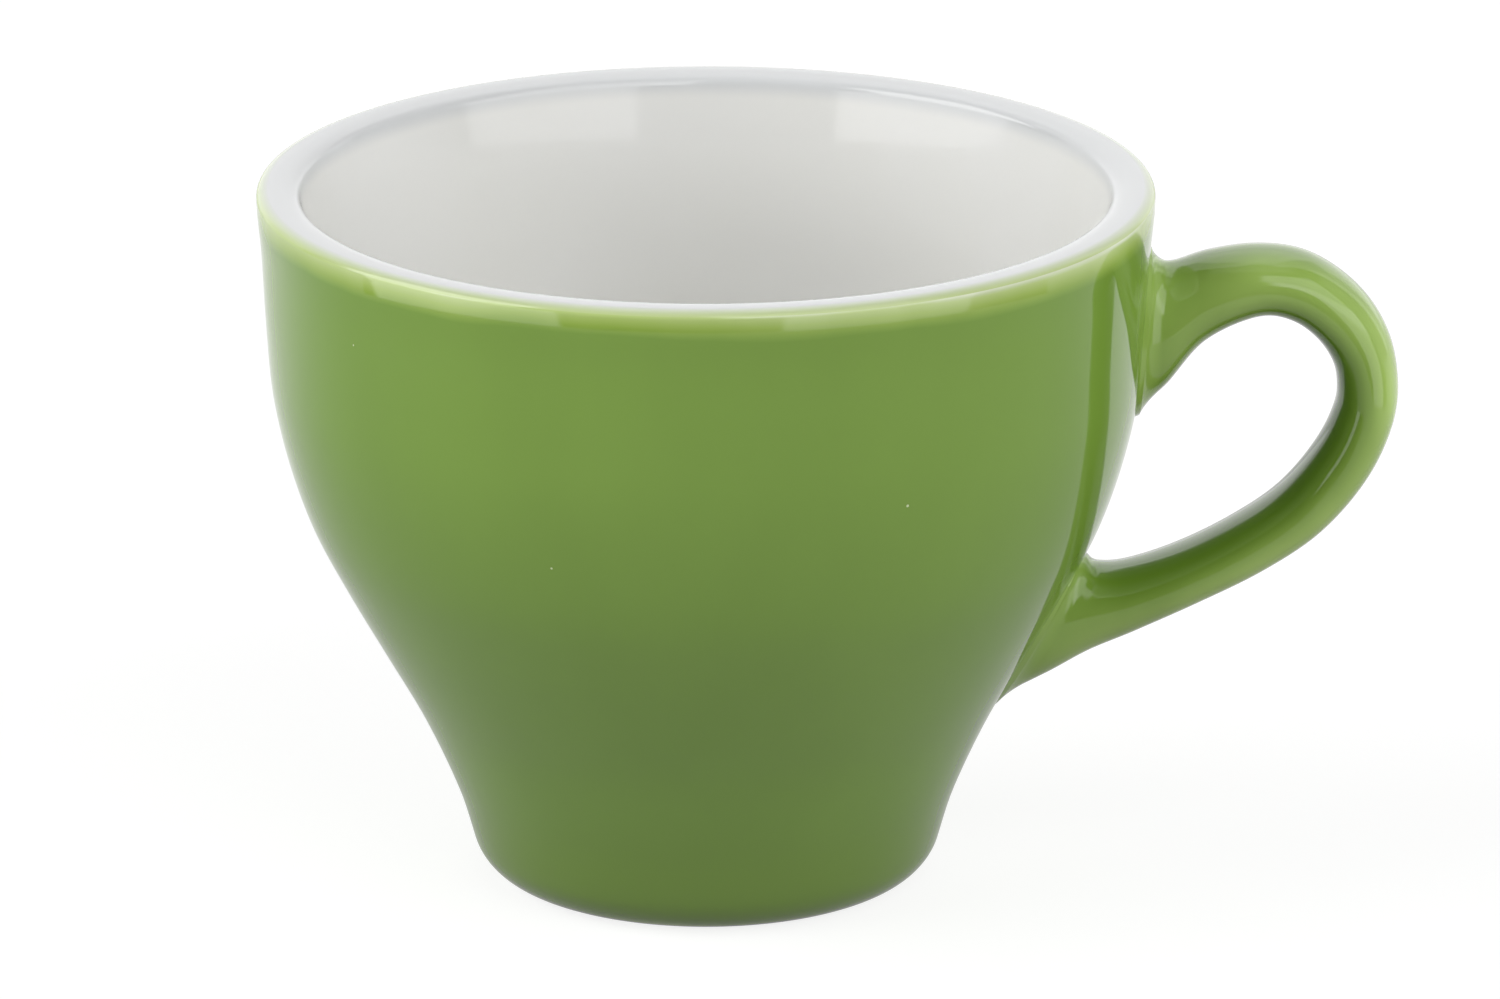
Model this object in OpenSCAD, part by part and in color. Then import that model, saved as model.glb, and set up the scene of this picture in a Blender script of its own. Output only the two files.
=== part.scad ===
// Cappuccino cup: a porcelain bowl with a luted-on loop handle, green glaze outside, white glaze inside.
// Millimetres. The origin is the centre of the standing ring, +Z is up and the handle points to +X.

/* [Bowl] */
// Width of the bowl across the rim
rim_d = 90; // [80:1:100]
// Height from the standing ring to the top of the lip
cup_h = 72; // [66:1:80]
// Width of the foot, where the heel rounding meets the wall
foot_d = 47.2; // [44:0.2:54]
// Radius of the heel rounding between the standing ring and the wall
heel_r = 5.5; // [4:0.25:6.5]
// Lean of the wall outwards where it leaves the heel, in degrees
heel_lean = 16; // [10:1:22]
// Thickness of the wall at the lip with its glaze, measured level
wall_t = 4.2; // [3.4:0.1:5]
// Thickness that the wall gains on its inside, going down from the lip
wall_gain_t = 1.45; // [0:0.05:2]
// Height over which it gains it
wall_gain_h = 16; // [10:1:24]
// Thickness of the floor in its middle, with its glaze
floor_t = 5; // [4:0.25:7]
// Height over which the inside rounds up from the floor to the wall
bowl_round_h = 16; // [12:1:22]

/* [Lip] */
// Width of the outer half of the lip, from the rim to the crest
lip_outer_w = 1.15; // [0.9:0.05:1.6]
// Height of the outer half of the lip
lip_outer_h = 0.9; // [0.7:0.05:1.6]
// Height of the inner half of the lip
lip_inner_h = 1.1; // [0.9:0.05:1.8]
// Where the white glaze stops on the outer half of the lip, in degrees above its widest point
white_edge_angle = 20; // [0:5:60]

/* [Standing ring] */
// Width of the bare ring that the cup stands on
ring_w = 2.8; // [2:0.1:4]
// Depth of the hollow under the foot
recess_h = 2.2; // [1.6:0.1:3]
// Width over which the hollow's edge rounds down to the standing ring
recess_round_w = 3; // [2:0.25:5]
// Height of the wiped, bare edge beside the standing ring
bare_h = 0.4; // [0.2:0.05:0.8]

/* [Glaze and joints] */
// Thickness of the glaze
glaze_t = 0.3; // [0.2:0.05:0.5]
// Thickness of the slip that joins the handle to the wall
slip_t = 0.4; // [0.3:0.05:0.6]
// Gap left between two pieces that are bonded together
bond_gap = 0.02; // [0.01:0.01:0.04]
// Room left round the slip where it comes through the glaze of the wall
slip_room = 0.3; // [0.2:0.05:0.4]

/* [Handle] */
// How far the handle stands out beyond the rim
handle_reach = 24.6; // [20:0.2:30]
// Height from the middle of the lower root to the middle of the handle's top
handle_rise = 36.4; // [32:0.2:40]
// Depth of the middle of the handle's top under the crest of the lip
handle_drop = 10; // [8.5:0.25:14]
// Thickness of the loop, measured in its own plane
handle_t = 6.2; // [5:0.1:7.4]
// Width of the handle across its plane
handle_w = 10.4; // [8:0.2:12]
// Radius of the glaze's fillet round both roots
root_fillet = 2; // [1.6:0.1:2.6]
// Radius of the porcelain's own fillet under it
bisque_fillet = 1.2; // [0.8:0.1:1.4]
// How far the uncut ends of the handle reach into the wall
root_bury = 2.5; // [2:0.25:3]

/* [Hidden] */

// Facets of the preview and steps along the curves
$fn = 180;
wall_steps = 40;
heel_steps = 6;
lip_steps = 8;
bowl_steps = 14;
recess_steps = 5;
ring_sides = 20;
ring_count = 56;
stub_count = 12;

// Outline of the wall from the heel to the lip: share of its height, share of its spread
wall_shares = [
    [0, 0], [0.08, 0.077], [0.2, 0.245], [0.31, 0.438], [0.4, 0.597], [0.5, 0.757],
    [0.6, 0.865], [0.7, 0.933], [0.8, 0.96], [0.92, 0.98], [1, 1]
];
// Centre line of the handle from the upper to the lower root:
// share of the reach from the wall, share of the rise, share of the loop's thickness
handle_shares = [
    [0, 0.848, 2.42], [0.107, 0.879, 2.02], [0.268, 0.957, 1.45], [0.498, 1, 1.13], [0.693, 0.982, 1.1],
    [0.864, 0.907, 1.08], [0.97, 0.805, 1.02], [1, 0.687, 1], [0.969, 0.585, 1], [0.886, 0.47, 1.01],
    [0.745, 0.341, 0.99], [0.577, 0.24, 0.96], [0.398, 0.154, 0.96], [0.243, 0.091, 1.11],
    [0.14, 0.059, 1.44], [0.066, 0.032, 2.06], [0, 0, 2.62]
];
// Lean of the handle's cross-section at the same places, in degrees from level
handle_lean_angles = [86, 87, 87, 88, 76, 57, 28, 5, -19, -35, -44, -57, -69, -82, -98, -110, -119];
// Roundness of the lip, the bowl's floor and the handle's section: 1 is an ellipse, less is squarer
lip_round_share = 0.67;
bowl_round_share = 0.8;
handle_round_share = 0.91;
// How strongly the handle's rings gather at its roots, 0 for evenly spaced
ring_gather_share = 0.72;

// Sizes that follow from the ones above
rim_r = rim_d / 2;
foot_r = foot_d / 2;
crest_r = rim_r - lip_outer_w;
lip_inner_w = wall_t - lip_outer_w;
wall_low_z = heel_r * (1 - sin(heel_lean));
wall_top_z = cup_h - lip_outer_h;
inner_top_z = cup_h - lip_inner_h;
ring_outer_r = foot_r - heel_r * cos(heel_lean);
ring_inner_r = ring_outer_r - ring_w;
recess_flat_r = ring_inner_r - recess_round_w;
floor_z = recess_h + floor_t;
round_top_z = floor_z + bowl_round_h;
handle_out_r = rim_r + handle_reach - handle_t / 2;
handle_low_z = cup_h - handle_drop - handle_rise;
bisque_inset = glaze_t + bond_gap;
slope_h = handle_w / 2;
white_gap = bond_gap / lip_outer_w * 180 / PI;

// Smooth curve through a table of pairs, with the slope given at both ends
function span_at(shares, u, i = 0) =
    i < len(shares) - 2 && u > shares[i + 1][0] ? span_at(shares, u, i + 1) : i;
function slope_at(shares, i, first, last) =
    i == 0 ? first
    : i == len(shares) - 1 ? last
    : (shares[i + 1][1] - shares[i - 1][1]) / (shares[i + 1][0] - shares[i - 1][0]);
function curve_at(shares, u, first, last) =
    let (
        i = span_at(shares, u),
        from = shares[i],
        to = shares[i + 1],
        width = to[0] - from[0],
        t = (u - from[0]) / width,
        slope_from = slope_at(shares, i, first, last) * width,
        slope_to = slope_at(shares, i + 1, first, last) * width
    )
    from[1] * (1 + 2 * t) * pow(1 - t, 2) + slope_from * t * pow(1 - t, 2)
    + to[1] * t * t * (3 - 2 * t) + slope_to * t * t * (t - 1);

// Radius of the finished wall at a height
wall_rise = wall_top_z - wall_low_z;
wall_spread = rim_r - foot_r;
function wall_r(z) =
    let (u = min(1, max(0, (z - wall_low_z) / wall_rise)))
    foot_r + wall_spread * curve_at(wall_shares, u, tan(heel_lean) * wall_rise / wall_spread, 0);

// Thickness gained by the wall at a height, with no kink where it ends
function wall_gain(z) =
    let (t = min(1, max(0, (cup_h - z) / wall_gain_h)))
    wall_gain_t * (2 * t - t * t);
function inner_r(z) = wall_r(z) - wall_t - wall_gain(z);

// A line of points moved to its left, which is into the porcelain
function inset(line, depth) = [
    for (i = [0:len(line) - 1])
    let (
        step = line[min(i + 1, len(line) - 1)] - line[max(i - 1, 0)],
        along = step / norm(step),
        moved = line[i] + depth * [-along[1], along[0]]
    )
    [max(0, moved[0]), moved[1]]
];
function reversed(line) = [for (i = [len(line) - 1:-1:0]) line[i]];

// Parts of the finished outline, in order from the middle of the underside round to the middle of the floor
function recess_arc(from, to) = [
    for (i = [0:recess_steps])
    let (a = from + (to - from) * i / recess_steps)
    [recess_flat_r + recess_round_w * sin(a), recess_h * cos(a)]
];
function heel_arc(from, to) = [
    for (i = [0:heel_steps])
    let (a = from + (to - from) * i / heel_steps)
    [ring_outer_r + heel_r * cos(a), heel_r + heel_r * sin(a)]
];
function lip_outer(from, to) = [
    for (i = [0:lip_steps])
    let (a = from + (to - from) * i / lip_steps)
    [crest_r + lip_outer_w * cos(a), wall_top_z + lip_outer_h * sin(a)]
];
wall_line = [
    for (i = [1:wall_steps - 1])
    let (z = wall_low_z + wall_rise * i / wall_steps)
    [wall_r(z), z]
];
lip_inner = [
    for (i = [1:lip_steps])
    let (
        a = 90 * i / lip_steps,
        z = inner_top_z + lip_inner_h * pow(abs(cos(a)), lip_round_share)
    )
    [crest_r - lip_inner_w * pow(sin(a), lip_round_share) - wall_gain(z), z]
];
inner_wall = [
    for (i = [1:wall_steps])
    let (z = inner_top_z + (round_top_z - inner_top_z) * i / wall_steps)
    [inner_r(z), z]
];
bowl_round = [
    for (i = [bowl_steps - 1:-1:0])
    let (
        a = 90 * i / bowl_steps,
        z = floor_z + bowl_round_h * (1 - pow(cos(a), bowl_round_share))
    )
    [inner_r(z) * pow(sin(a), bowl_round_share), z]
];

// The glaze's edges beside the bare ring, as angles on the two arcs
recess_bare = acos(bare_h / recess_h);
heel_bare = asin(bare_h / heel_r - 1);
underside_line = concat([[0, recess_h]], recess_arc(0, recess_bare));
function outside_line(top) = concat(heel_arc(heel_bare, -heel_lean), wall_line, lip_outer(0, top));
inside_line = concat(lip_inner, inner_wall, bowl_round);
bare_ring = concat(recess_arc(recess_bare, 90), heel_arc(-90, heel_bare));

// A form turned round the cup's axis, with its seam on the side away from the handle
module turned(points)
    rotate([0, 0, 180])
        rotate_extrude()
            polygon(points);

// A layer of glaze that follows a stretch of the outline
module glaze_layer(line)
    turned(concat(line, reversed(inset(line, glaze_t))));

// The room inside the bowl's outer surface, moved outwards by a length
module wall_core(out) {
    line = concat([[foot_r, wall_low_z]], wall_line, [[rim_r, wall_top_z]]);
    turned(concat([[0, wall_low_z]], inset(line, -out), [[0, wall_top_z]]));
}

// Smooth line through a table of rows, at a place counted in rows
function row_at(rows, i) =
    i < 0 ? 2 * rows[0] - rows[1]
    : i > len(rows) - 1 ? 2 * rows[len(rows) - 1] - rows[len(rows) - 2]
    : rows[i];
function row_between(rows, place) =
    let (
        i = min(floor(place), len(rows) - 2),
        t = place - i,
        a = row_at(rows, i - 1),
        b = row_at(rows, i),
        c = row_at(rows, i + 1),
        d = row_at(rows, i + 2)
    )
    b + (t * (c - a) + t * t * (2 * a - 5 * b + 4 * c - d) + t * t * t * (3 * b - 3 * c + d - a)) / 2;

// Round and power of a signed number, for the squarer ellipses
function signed_power(x, e) = sign(x) * pow(abs(x), e);

// Extra width of the handle at a level distance from the wall, so that its sides run into the wall
function fillet_out(gap, fillet) =
    let (inside = max(0, fillet - max(0, gap)))
    fillet - sqrt(pow(fillet, 2) - pow(inside, 2));

// One ring of points round the handle, as wide as the finished handle plus a growth
function handle_ring(place, bury, grow, fillet) =
    let (
        row = row_between(handle_shares, place),
        lean = row_between(handle_lean_angles, place),
        mid_z = handle_low_z + handle_rise * row[1],
        mid_x = wall_r(mid_z) + (handle_out_r - wall_r(mid_z)) * row[0] - bury,
        half_t = handle_t / 2 * row[2] + grow,
        half_w = handle_w / 2 + grow,
        rake = wall_r(mid_z + slope_h) - wall_r(mid_z),
        face = [slope_h, 0, -rake] / norm([slope_h, rake])
    )
    [
        for (j = [0:ring_sides - 1])
        let (
            a = 360 * j / ring_sides,
            u = signed_power(cos(a), handle_round_share),
            v = signed_power(sin(a), handle_round_share),
            out = [cos(a) * cos(lean), sin(a), cos(a) * sin(lean)],
            plain = [mid_x + u * half_t * cos(lean), v * half_w, mid_z + u * half_t * sin(lean)],
            gap = norm([plain[0], plain[1]]) - wall_r(plain[2]),
            spread = fillet_out(gap, fillet) * (1 - max(0, out * face))
        )
        plain + spread * out
    ];

// Place of a ring, with the rings gathered at both roots
function ring_place(i) =
    let (t = i / ring_count)
    (len(handle_shares) - 1) * (t - ring_gather_share * sin(360 * t) / 2 / PI);

// All rings from one number to another, with a buried ring at each root
function handle_rings(first, last, grow, fillet) = [
    for (i = [first:last])
    handle_ring(
        ring_place(min(ring_count, max(0, i))),
        i < 0 || i > ring_count ? root_bury : 0,
        grow,
        fillet
    )
];
function joined(rings) = [for (ring = rings) for (point = ring) point];
function middle(ring) = [for (point = ring) 1 / len(ring)] * ring;

// Triangles between two rows of points, whose numbers start at two places
function band(from, to) = [
    for (j = [0:ring_sides - 1])
    let (k = (j + 1) % ring_sides)
    each [[from + j, to + k, to + j], [from + j, from + k, to + k]]
];
function cap(start, centre, at_end) = [
    for (j = [0:ring_sides - 1])
    let (k = (j + 1) % ring_sides)
    at_end ? [start + j, start + k, centre] : [start + k, start + j, centre]
];

// Solid between a row of rings
module ring_solid(rings) {
    points = concat(joined(rings), [middle(rings[0]), middle(rings[len(rings) - 1])]);
    end = (len(rings) - 1) * ring_sides;
    sides = [for (i = [0:len(rings) - 2]) each band(i * ring_sides, (i + 1) * ring_sides)];
    polyhedron(
        points,
        concat(sides, cap(0, end + ring_sides, false), cap(end, end + ring_sides + 1, true))
    );
}

// Porcelain of the handle between two rings
module bisque_sweep(first, last)
    ring_solid(handle_rings(first, last, -bisque_inset, bisque_fillet));

// Opening in the wall's glaze at a root, wider than the slip that comes through it
module slip_opening(place, bury) {
    grow = bisque_fillet - bisque_inset + slip_room;
    ring_solid([handle_ring(place, bury, grow, 0), handle_ring(place, -bury, grow, 0)]);
}

// Hollow skin along the whole handle
module glaze_tube() {
    outer_rings = handle_rings(-1, ring_count + 1, 0, root_fillet);
    inner_rings = handle_rings(-1, ring_count + 1, -glaze_t, bisque_fillet);
    count = len(outer_rings) * ring_sides;
    end = count - ring_sides;
    points = concat(joined(outer_rings), joined(inner_rings));
    outer_sides = [for (i = [0:len(outer_rings) - 2]) each band(i * ring_sides, (i + 1) * ring_sides)];
    inner_sides = [for (face = outer_sides) [face[0] + count, face[2] + count, face[1] + count]];
    polyhedron(points, concat(outer_sides, inner_sides, band(count, 0), band(end, count + end)));
}

// Turned porcelain bowl with its bare standing ring
module cup_body()
    color([0.93, 0.92, 0.89])
        turned(concat(
            inset(underside_line, bisque_inset),
            bare_ring,
            inset(concat(outside_line(90), inside_line), bisque_inset)
        ));

// Green glaze on the outside of the bowl, open where the handle is joined on
module outer_glaze()
    color([0.42, 0.53, 0.2])
        difference() {
            glaze_layer(outside_line(white_edge_angle));
            slip_opening(0, root_bury);
            slip_opening(len(handle_shares) - 1, -root_bury);
        }

// White glaze over the lip and inside the bowl
module liner_glaze()
    color([0.87, 0.87, 0.85])
        glaze_layer(concat(lip_outer(white_edge_angle + white_gap, 90), inside_line));

// Clear glaze in the hollow under the foot
module base_glaze()
    color([0.9, 0.9, 0.87])
        glaze_layer(underside_line);

// Cast handle, cut to the wall at both ends
module handle()
    color([0.93, 0.92, 0.89])
        difference() {
            bisque_sweep(-1, ring_count + 1);
            wall_core(slip_t + bond_gap - glaze_t);
        }

// Green glaze over the handle
module handle_glaze()
    color([0.45, 0.56, 0.22])
        difference() {
            glaze_tube();
            wall_core(bond_gap);
        }

// Layer of slip between the wall and one end of the handle
module joint_slip(first, last)
    color([0.85, 0.83, 0.78])
        intersection() {
            bisque_sweep(first, last);
            difference() {
                wall_core(slip_t - glaze_t);
                wall_core(-glaze_t);
            }
        }

// Slip under the handle's upper root
module upper_joint_slip()
    joint_slip(-1, stub_count);

// Slip under the handle's lower root
module lower_joint_slip()
    joint_slip(ring_count - stub_count, ring_count + 1);

cup_body();
outer_glaze();
liner_glaze();
base_glaze();
handle();
handle_glaze();
upper_joint_slip();
lower_joint_slip();
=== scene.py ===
"""Looks of a cappuccino cup: glazed porcelain, green outside and white inside.

Lengths are in metres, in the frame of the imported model. The origin is the centre of the standing ring,
+Z is up and the handle points to +X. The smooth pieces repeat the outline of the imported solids, and take
their main sizes from the solids' boxes.
"""

from __future__ import annotations

import logging
import math
from dataclasses import dataclass, field
from enum import Enum

import bmesh
import bpy
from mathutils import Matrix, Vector

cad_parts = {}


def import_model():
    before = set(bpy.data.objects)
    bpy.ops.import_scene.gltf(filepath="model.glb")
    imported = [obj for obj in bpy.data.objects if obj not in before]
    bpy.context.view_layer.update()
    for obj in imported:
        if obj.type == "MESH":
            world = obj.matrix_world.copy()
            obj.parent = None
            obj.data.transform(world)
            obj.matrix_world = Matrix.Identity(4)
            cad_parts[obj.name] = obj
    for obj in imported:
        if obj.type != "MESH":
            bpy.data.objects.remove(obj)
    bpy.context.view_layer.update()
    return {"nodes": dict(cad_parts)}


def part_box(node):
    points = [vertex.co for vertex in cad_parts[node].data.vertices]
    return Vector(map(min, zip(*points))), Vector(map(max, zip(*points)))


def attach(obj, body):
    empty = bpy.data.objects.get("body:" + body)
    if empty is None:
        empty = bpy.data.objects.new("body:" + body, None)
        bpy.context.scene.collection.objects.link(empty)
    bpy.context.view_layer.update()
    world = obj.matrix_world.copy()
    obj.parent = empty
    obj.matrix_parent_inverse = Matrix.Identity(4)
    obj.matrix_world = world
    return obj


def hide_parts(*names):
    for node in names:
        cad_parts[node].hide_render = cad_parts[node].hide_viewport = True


LOG = logging.getLogger("cappuccino_cup")
MM = 0.001
# Name of the mesh attribute that carries the painted light and painted shade on the handle's loop.
PAINTED_LIGHT_ATTRIBUTE = "painted_light_on_loop"

MERGE_DISTANCE = 0.0002 * MM
TURNED_CREASE = math.radians(35)
HANDLE_CREASE = math.radians(60)

Colour = tuple[float, float, float]
Line = list[Vector]
Socket = bpy.types.NodeSocket


def srgb(red: int, green: int, blue: int) -> Colour:
    """Turn a colour as a screen shows it into the linear colour that a shader takes.

    Args:
        red: Red, from 0 to 255.
        green: Green, from 0 to 255.
        blue: Blue, from 0 to 255.

    Returns:
        The three linear channels, from 0 to 1.
    """
    shares = (red / 255, green / 255, blue / 255)
    return tuple(c / 12.92 if c <= 0.04045 else ((c + 0.055) / 1.055) ** 2.4 for c in shares)


def smooth_curve(rows: list[Vector], place: float) -> Vector:
    """Read a smooth line through rows of numbers at a place counted in rows.

    Args:
        rows: The rows that the line passes through.
        place: Where to read it; 0 is the first row and 1 the second.

    Returns:
        The row at that place.
    """
    last = len(rows) - 1
    index = min(int(place), last - 1)
    t = place - index
    before = rows[index - 1] if index > 0 else 2 * rows[0] - rows[1]
    start, end = rows[index], rows[index + 1]
    after = rows[index + 2] if index + 2 <= last else 2 * rows[last] - rows[last - 1]
    linear = t * (end - before)
    square = t * t * (2 * before - 5 * start + 4 * end - after)
    cube = t**3 * (3 * start - 3 * end + after - before)
    return start + (linear + square + cube) / 2


def signed_power(value: float, exponent: float) -> float:
    """Raise the size of a number to a power and keep its sign."""
    return math.copysign(abs(value) ** exponent, value)


@dataclass(frozen=True)
class Outline:
    """Outline of the turned bowl, from the middle of its underside round to the middle of its floor.

    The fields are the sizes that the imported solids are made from.
    """

    rim_radius: float
    height: float
    foot_radius: float = 23.6 * MM
    heel_radius: float = 5.5 * MM
    heel_lean: float = math.radians(16)
    wall: float = 4.2 * MM
    wall_gain: float = 1.45 * MM
    wall_gain_height: float = 16 * MM
    floor: float = 5 * MM
    bowl_round_height: float = 16 * MM
    lip_outer_width: float = 1.15 * MM
    lip_outer_height: float = 0.9 * MM
    lip_inner_height: float = 1.1 * MM
    white_edge_angle: float = math.radians(20)
    ring_width: float = 2.8 * MM
    recess_height: float = 2.2 * MM
    recess_round_width: float = 3 * MM
    bare_height: float = 0.4 * MM
    glaze: float = 0.3 * MM
    lip_round_share: float = 0.67
    bowl_round_share: float = 0.8
    wall_shares: tuple[tuple[float, float], ...] = (
        (0, 0), (0.08, 0.077), (0.2, 0.245), (0.31, 0.438), (0.4, 0.597), (0.5, 0.757),
        (0.6, 0.865), (0.7, 0.933), (0.8, 0.96), (0.92, 0.98), (1, 1),
    )
    steps: int = 10

    @property
    def low(self) -> float:
        """Height at which the wall leaves the heel."""
        return self.heel_radius * (1 - math.sin(self.heel_lean))

    @property
    def top(self) -> float:
        """Height at which the wall meets the lip."""
        return self.height - self.lip_outer_height

    @property
    def ring_radius(self) -> float:
        """Outer radius of the standing ring."""
        return self.foot_radius - self.heel_radius * math.cos(self.heel_lean)

    @property
    def recess_radius(self) -> float:
        """Radius at which the hollow under the foot is flat."""
        return self.ring_radius - self.ring_width - self.recess_round_width

    def wall_radius(self, height: float) -> float:
        """Radius of the finished wall.

        Args:
            height: Height above the standing ring.

        Returns:
            The radius at that height.
        """
        rise, spread = self.top - self.low, self.rim_radius - self.foot_radius
        place = min(1.0, max(0.0, (height - self.low) / rise))
        shares = self.wall_shares
        index = next(i for i in range(len(shares) - 1) if place <= shares[i + 1][0])
        slopes = [math.tan(self.heel_lean) * rise / spread]
        slopes += [
            (after[1] - before[1]) / (after[0] - before[0])
            for before, after in zip(shares, shares[2:])
        ]
        slopes.append(0.0)
        start, end = shares[index], shares[index + 1]
        width = end[0] - start[0]
        t = (place - start[0]) / width
        share = start[1] * (1 + 2 * t) * (1 - t) ** 2 + end[1] * t * t * (3 - 2 * t)
        share += width * (slopes[index] * t * (1 - t) ** 2 - slopes[index + 1] * t * t * (1 - t))
        return self.foot_radius + spread * share

    def gain(self, height: float) -> float:
        """Thickness that the wall gains on its inside between the lip and a height."""
        t = min(1.0, max(0.0, (self.height - height) / self.wall_gain_height))
        return self.wall_gain * (2 * t - t * t)

    def inner_radius(self, height: float) -> float:
        """Radius of the inside of the wall at a height."""
        return self.wall_radius(height) - self.wall - self.gain(height)

    def recess(self, start: float, end: float) -> Line:
        """Arc from the flat of the hollow down to the standing ring, between two angles."""
        return [
            Vector((
                self.recess_radius + self.recess_round_width * math.sin(a),
                self.recess_height * math.cos(a),
            ))
            for a in self.angles(start, end)
        ]

    def heel(self, start: float, end: float) -> Line:
        """Arc of the heel between two angles."""
        return [
            Vector((self.ring_radius, self.heel_radius))
            + self.heel_radius * Vector((math.cos(a), math.sin(a)))
            for a in self.angles(start, end)
        ]

    def lip_outer(self, start: float, end: float) -> Line:
        """Outer half of the lip between two angles above its widest point."""
        crest = self.rim_radius - self.lip_outer_width
        return [
            Vector((
                crest + self.lip_outer_width * math.cos(a),
                self.top + self.lip_outer_height * math.sin(a),
            ))
            for a in self.angles(start, end)
        ]

    def angles(self, start: float, end: float) -> list[float]:
        """Evenly spaced angles from one to another, both included."""
        return [start + (end - start) * i / self.steps for i in range(self.steps + 1)]

    def outer_wall(self) -> Line:
        """Draw the outside of the wall between the heel and the lip, both ends left out.

        Returns:
            The points, from the bottom up.
        """
        count = 6 * self.steps
        heights = [self.low + (self.top - self.low) * i / count for i in range(1, count)]
        return [Vector((self.wall_radius(z), z)) for z in heights]

    def inner_line(self) -> Line:
        """Draw the inner half of the lip, the inside of the wall and the rounded floor.

        Returns:
            The points, from the lip's crest to the middle of the floor.
        """
        crest = self.rim_radius - self.lip_outer_width
        lip_width, lip_low = self.wall - self.lip_outer_width, self.height - self.lip_inner_height
        line = []
        for a in self.angles(0, math.pi / 2)[1:]:
            z = lip_low + self.lip_inner_height * max(0.0, math.cos(a)) ** self.lip_round_share
            line.append(Vector((crest - lip_width * math.sin(a) ** self.lip_round_share - self.gain(z), z)))
        floor = self.recess_height + self.floor
        round_top = floor + self.bowl_round_height
        count = 4 * self.steps
        for i in range(1, count + 1):
            z = lip_low + (round_top - lip_low) * i / count
            line.append(Vector((self.inner_radius(z), z)))
        for i in range(2 * self.steps - 1, -1, -1):
            a = math.pi / 2 * i / (2 * self.steps)
            z = floor + self.bowl_round_height * (1 - math.cos(a) ** self.bowl_round_share)
            line.append(Vector((self.inner_radius(z) * math.sin(a) ** self.bowl_round_share, z)))
        return line

    @property
    def recess_bare(self) -> float:
        """Angle on the hollow's arc at which its glaze stops."""
        return math.acos(self.bare_height / self.recess_height)

    @property
    def heel_bare(self) -> float:
        """Angle on the heel's arc at which the outer glaze starts."""
        return math.asin(self.bare_height / self.heel_radius - 1)

    def underside(self) -> Line:
        """Glazed hollow under the foot, from its middle out."""
        return [Vector((0, self.recess_height))] + self.recess(0, self.recess_bare)

    def outside(self, top: float) -> Line:
        """Outside of the cup, from the bare ring up to an angle on the lip."""
        return self.heel(self.heel_bare, -self.heel_lean) + self.outer_wall() + self.lip_outer(0, top)

    def bare_ring(self) -> Line:
        """Unglazed standing ring with its two edges."""
        return self.recess(self.recess_bare, math.pi / 2) + self.heel(-math.pi / 2, self.heel_bare)


def inset(line: Line, depth: float) -> Line:
    """Move an outline into the porcelain.

    Args:
        line: Points of radius and height, with the porcelain on their left.
        depth: How far to move them.

    Returns:
        The moved points.
    """
    moved = []
    for i, point in enumerate(line):
        along = (line[min(i + 1, len(line) - 1)] - line[max(i - 1, 0)]).normalized()
        radius, height = point + depth * Vector((-along.y, along.x))
        moved.append(Vector((max(0.0, radius) if point.x else 0.0, height)))
    return moved


def finished_piece(mesh: bmesh.types.BMesh, name: str, crease: float) -> bpy.types.Object:
    """Close, shade and name a piece, and put it on the cup's body.

    Args:
        mesh: The piece's mesh, in its place.
        name: Name of the piece.
        crease: Angle between faces above which an edge stays sharp.

    Returns:
        The new object.
    """
    bmesh.ops.remove_doubles(mesh, verts=mesh.verts, dist=MERGE_DISTANCE)
    bmesh.ops.recalc_face_normals(mesh, faces=mesh.faces)
    for face in mesh.faces:
        face.smooth = True
    for edge in mesh.edges:
        edge.smooth = edge.calc_face_angle(0.0) < crease
    data = bpy.data.meshes.new(name)
    mesh.to_mesh(data)
    mesh.free()
    piece = bpy.data.objects.new(name, data)
    bpy.context.scene.collection.objects.link(piece)
    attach(piece, "root")
    LOG.info("%s: %d faces", name, len(data.polygons))
    return piece


def turned(line: Line, name: str, turns: int = 144) -> bpy.types.Object:
    """Turn a closed outline round the cup's axis.

    Args:
        line: The outline's points, as radius and height. Points with no radius lie on the axis.
        name: Name of the piece.
        turns: Number of steps round the axis.

    Returns:
        The new object.
    """
    mesh = bmesh.new()
    ring = [mesh.verts.new((-point.x, 0, point.y)) for point in line]
    for start, end in zip(ring, ring[1:] + ring[:1]):
        if start.co.x or end.co.x:
            mesh.edges.new((start, end))
    bmesh.ops.spin(
        mesh, geom=mesh.verts[:] + mesh.edges[:], axis=(0, 0, 1), cent=(0, 0, 0),
        angle=2 * math.pi, steps=turns, use_merge=True,
    )
    return finished_piece(mesh, name, TURNED_CREASE)


class Effect(Enum):
    """Shader groups that more than one finish uses."""

    MOTTLE = "slow mottle"
    SPECKS = "fine specks"
    RIPPLE = "glaze ripple"


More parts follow.
